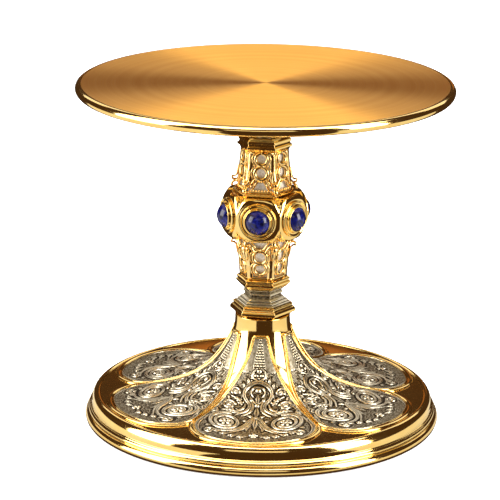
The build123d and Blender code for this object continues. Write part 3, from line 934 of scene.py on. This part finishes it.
class Lantern:
    """One openwork lantern; levels run from the knop's end (0) to the collar."""

    def __init__(self, place, knop_end, length, up):
        self.place, self.knop_end, self.length, self.up = place, knop_end, length, up
        self.levels = [*LANTERN_LEVELS, (length, LANTERN_END_R)]

    def flat_r(self, level):
        return np.interp(level, *zip(*self.levels)) / CORNER

    def on_face(self, u, level, lift=0.0):
        """Points on the face towards -Y."""
        u, level = np.broadcast_arrays(np.asarray(u, float), np.asarray(level, float))
        z = self.knop_end + self.up * level
        return np.stack([u, -self.flat_r(np.maximum(level, 1.5)) - lift, z], -1)

    def bar(self, line, width, height, lift=-0.25, count=40):
        """Rounded bar along a line of (u, level) points on a face."""
        flat = smooth_curve(line, count=count)
        points = self.on_face(flat[:, 0], flat[:, 1], lift)
        step = unit(np.gradient(points, axis=0))
        out = np.tile([0.0, -1.0, 0.0], (count, 1))
        side = unit(np.cross(step, out))
        return tube(points, side, out, width, height)

    def ring(self, centre, radius, half, start, sweep, height):
        angle = np.radians(np.linspace(start, start + sweep, 40))
        line = np.stack([centre[0] + radius * np.cos(angle), centre[1] + radius * np.sin(angle)], -1)
        return self.bar(line, half, height, count=56)

    def bead(self, u, level, r, lift=0.0):
        phi = np.linspace(0.02, math.pi - 0.02, 9)
        line = self.on_face(np.full(9, u), np.full(9, level), lift) - np.stack(
            [0 * phi, -r * np.cos(phi), 0 * phi], -1)
        side = np.tile([1.0, 0, 0], (9, 1))
        up = np.tile([0, 0, 1.0], (9, 1))
        reach = r * np.sin(phi)
        return tube(line, side, up, reach, reach, 10)

    def frame(self, strip):
        """Flat strips along the corners, a rail at the collar and a beaded rail at the knop."""
        parts = []
        for way in (-1, 1):
            levels = np.linspace(4.6, self.length, 12)
            edge = self.flat_r(levels) * math.tan(math.pi / 6)
            inner = np.stack([way * (edge - strip), levels], -1)
            outer = np.stack([way * edge, levels], -1)
            section = [self.on_face(*inner.T, -LANTERN_WALL), self.on_face(*inner.T, -0.15),
                       self.on_face(*(inner + (way * 0.15, 0)).T, 0.0), self.on_face(*outer.T, 0.0),
                       self.on_face(*(outer * (0.96, 1)).T, -LANTERN_WALL)]
            faces = grid_quads(5, 12, True, False).tolist()
            faces += [[12 * k for k in range(5)], [12 * k + 11 for k in range(5)][::-1]]
            parts.append((np.array(section), faces))
        for low, high, lift in ((self.length - 1.3, self.length, 0.0), (0.0, 1.0, 0.55)):
            edge = self.flat_r(high) * math.tan(math.pi / 6) + 0.5 * lift
            u = np.linspace(-edge, edge, 6)
            section = [self.on_face(u * k, level, d) for level, d, k in (
                (low, -LANTERN_WALL, 0.93), (low, lift - 0.15, 1), (low + 0.15, lift, 1),
                (high - 0.15, lift, 1), (high, lift - 0.15, 1), (high, -LANTERN_WALL, 0.93))]
            faces = grid_quads(6, 6, True, False).tolist()
            faces += [[6 * k for k in range(6)], [6 * k + 5 for k in range(6)][::-1]]
            parts.append((np.array(section), faces))
        parts += [self.bead(u, 1.35, 0.62, -0.1) for u in np.linspace(-5.2, 5.2, 8)]
        return parts

    def tracery(self, rings):
        """Linked rings with curls, and scrolls that spread over a pointed arch at the knop's end."""
        parts = []
        for level, radius, eye in rings:
            half = (radius - eye) / 2
            parts.append(self.ring((0, level), eye + half, (half,), 90, 360, (0.95,)))
            parts.append(self.ring((0.9, level), radius - 0.2, (0.1, 0.35, 0.4, 0.15), 75, -150, (0.5,)))
            parts.append(self.ring((-0.9, level), radius - 0.2, (0.1, 0.35, 0.4, 0.15), 105, 150, (0.5,)))
        (first, r1, _), (second, r2, _) = rings
        join = (first + r1 + second - r2) / 2
        for way in (-1, 1):
            parts.append(self.bead(way * 1.5, join, 0.7, 0.1))
            parts.append(self.bead(way * 3.2, join + 0.3, 0.55, -0.1))
            parts.append(self.bar([(way * 2.6, first - r1 + 1.4), (way * 3.6, first - r1 + 0.1),
                                   (way * 4.6, 4.0), (way * 5.9, 2.9)], (0.55, 0.85, 0.7), (0.9,), 0.0))
            parts.append(self.bead(way * 5.3, 3.5, 1.0, 0.3))
            parts.append(self.bar([(0.0, first - r1 + 0.5), (way * 1.9, first - r1 - 0.4),
                                   (way * 3.4, 2.9), (way * 4.4, 1.7)], (0.4, 0.6, 0.5), (0.7,), 0.0))
        parts.append(self.bead(0.0, first - r1 + 0.3, 0.75, 0.2))
        return parts

    def volute(self):
        """Leaf that curls out of a corner beside the knop, made in the plane of that corner."""
        spread = 15.5 if self.up > 0 else 13.9
        leaf = smooth_curve([(12.4, 11.0), (12.8, 8.6), (13.2, 6.6), (14.3, 5.3), (15.3, 5.2)], count=18)
        cup = smooth_curve([(15.5, 5.5), (15.6, 4.5), (14.9, 3.7), (14.0, 3.6)], count=12)
        foot = smooth_curve([(13.4, 3.9), (14.2, 2.9), (spread, 1.9), (spread + 0.2, 0.6)], count=12)
        parts = []
        for line, width, height in ((leaf, (0.5, 0.9, 1.2, 1.3), (0.3, 0.5, 0.45, 0.3)),
                                    (cup, (1.1, 1.25, 0.9), (0.35, 0.5, 0.5)),
                                    (foot, (0.7, 1.1, 1.0), (0.5, 0.55, 0.6))):
            points = np.stack([line[:, 0], 0 * line[:, 0], self.knop_end + self.up * line[:, 1]], -1)
            step = unit(np.gradient(points, axis=0))
            side = np.tile([0.0, 1.0, 0.0], (len(line), 1))
            out = np.cross(side, step)
            points, faces = tube(points, side, out, width, height)
            turn = math.radians(-60)
            c, s = math.cos(turn), math.sin(turn)
            parts.append((points @ np.array([[c, s, 0], [-s, c, 0], [0, 0, 1]]), faces))
        return parts

    def build(self, strip, rings):
        body = joined(self.frame(strip) + self.tracery(rings) + self.volute())
        mesh = new_mesh(f"{self.place}_openwork", *turned_copies(*body))
        merge_doubles(mesh, 1e-8)
        add_piece(f"{self.place}_openwork", mesh, CAST, f"{self.place}_lantern_cage")
        inner = [(self.knop_end + self.up * level, corner - LANTERN_WALL * CORNER)
                 for level, corner in self.levels]
        inner = inner if self.up > 0 else inner[::-1]
        core = new_mesh(f"{self.place}_silver_core", *listed(hexagonal(inner, 0.2)))
        merge_doubles(core)
        add_piece(f"{self.place}_silver_core", core, STIPPLED,
                  f"{self.place}_lantern_core", even_normals=True)


def lanterns():
    base, top = base_of("upper_lantern_core"), top_of("upper_lantern_core")
    Lantern("upper", base, top - base, 1).build(2.1, [(9.6, 4.0, 2.1), (16.4, 3.7, 2.0)])
    base, top = base_of("lower_lantern_core"), top_of("lower_lantern_core")
    Lantern("lower", top, top - base, -1).build(2.4, [(9.5, 4.2, 2.4), (15.4, 3.8, 2.1)])


# ---------------------------------------------------------------- CAD nodes that stay

def finish_cad_nodes():
    for name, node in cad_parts.items():
        material = GILT
        if name in ("tie_rod", "tie_nut", "washer_plate"):
            material = STEEL
        if name.endswith("core"):
            material = SILVER
        for k in range(len(node.data.materials)):
            node.material_slots[k].material = material


# ---------------------------------------------------------------- studio

def camera():
    azimuth, pitch, yaw, roll = (math.radians(a) for a in (3.0, 16.55, 0.31, 0.65))
    distance, height = 1.1956, 0.4387
    data = bpy.data.cameras.new("camera")
    data.lens = 186.55
    data.sensor_width = 36.0
    data.clip_start, data.clip_end = 0.05, 20.0
    eye = in_scene("camera", data)
    turn = Matrix.Rotation(azimuth, 3, "Z")
    forward = turn @ Vector((-math.sin(yaw) * math.cos(pitch), math.cos(yaw) * math.cos(pitch),
                             -math.sin(pitch)))
    right = turn @ Vector((math.cos(yaw), math.sin(yaw), 0))
    up = right.cross(forward)
    tilted_right = right * math.cos(roll) + up * math.sin(roll)
    tilted_up = up * math.cos(roll) - right * math.sin(roll)
    axes = Matrix((tilted_right, tilted_up, -forward)).transposed()
    place = turn @ Vector((0, -distance, height))
    eye.matrix_world = Matrix.Translation(place) @ axes.to_4x4()
    bpy.context.scene.camera = eye


def sector_card(name, radii, azimuths, strength, place=(0, 0, -0.0003), colour=(1, 1, 1)):
    """Reflector lying on the table, seen by the metal but not by the camera."""
    m = Nodes(name)
    m.set(Roughness=1.0, Emission_Strength=strength)
    m.shader.inputs["Base Color"].default_value = (0, 0, 0, 1)
    m.shader.inputs["Emission Color"].default_value = (*colour, 1)
    angle = np.radians(np.linspace(*azimuths, 48))
    rings = [polar(r, angle, 0 * angle) / MM for r in radii]
    mesh = new_mesh(name, np.array(rings), grid_quads(2, 48).tolist(), smooth=False)
    mesh.materials.append(m.material)
    card = in_scene(name, mesh)
    card.location = place
    card.visible_camera = False
    card.visible_shadow = False


def floor():
    """Pale table top, with reflectors on it that give the metal its bright and dark bands."""
    m = Nodes("pale floor")
    m.set(Roughness=0.9, Emission_Strength=0.75, Specular_IOR_Level=0.0)
    m.shader.inputs["Base Color"].default_value = (0.9, 0.9, 0.9, 1)
    m.shader.inputs["Emission Color"].default_value = (1, 1, 1, 1)
    angle = np.arange(96) * 2 * math.pi / 96
    points = np.stack([np.cos(angle), np.sin(angle), 0 * angle], -1) * 6.0 / MM
    mesh = new_mesh("table_top", points, [list(range(96))], smooth=False)
    mesh.materials.append(m.material)
    ground = in_scene("table_top", mesh)
    ground.location.z = -0.0006
    ground.visible_glossy = False
    warm = (1.0, 0.95, 0.84)
    sector_card("left_card", (0.10, 1.2), (-215, -112), 1.0, colour=warm)
    sector_card("right_card", (0.10, 1.2), (-46, 30), 0.9, colour=warm)
    sector_card("near_card", (0.088, 0.10), (-190, 10), 0.8, colour=warm)


def area_light(name, place, aim, size, power, glossy=True, colour=(1, 1, 1)):
    data = bpy.data.lights.new(name, "AREA")
    data.shape = "RECTANGLE"
    data.size, data.size_y = size
    data.energy = power
    data.color = colour
    lamp = in_scene(name, data)
    lamp.location = place
    lamp.rotation_euler = (Vector(aim) - Vector(place)).to_track_quat("-Z", "Y").to_euler()
    lamp.visible_glossy = glossy


def studio():
    world = bpy.data.worlds.new("studio")
    bpy.context.scene.world = world
    world.use_nodes = True
    background = world.node_tree.nodes["Background"]
    background.inputs["Color"].default_value = (0.20, 0.105, 0.045, 1)
    background.inputs["Strength"].default_value = 0.30
    centre = (0, 0, 0.09)
    pale = (1.0, 0.95, 0.87)
    area_light("left_box", (-1.05, -0.30, 0.49), centre, (0.8, 1.05), 17, colour=pale)
    area_light("right_box", (0.95, -0.45, 0.46), centre, (0.5, 0.9), 14, colour=pale)
    area_light("front_box", (0.0, -1.3, 0.85), centre, (1.0, 0.4), 1.2, colour=pale)
    area_light("back_box", (0.0, 0.95, 0.76), centre, (1.7, 0.4), 2.6, colour=pale)
    area_light("back_glow", (0.0, 1.3, 0.33), centre, (0.7, 0.16), 0.12, colour=(1.0, 0.36, 0.08))
    area_light("top_box", (0.0, -0.10, 1.1), centre, (1.9, 0.7), 23)
    area_light("floor_fill", (0.0, -0.1, 1.6), centre, (2.2, 2.2), 22, glossy=False)
    bpy.context.scene.view_settings.view_transform = "Standard"


plate()
foot_shell()
foot_ring()
plaques()
stem_mouldings()
calyx()
jewels()
knop()
lanterns()
finish_cad_nodes()
camera()
floor()
studio()
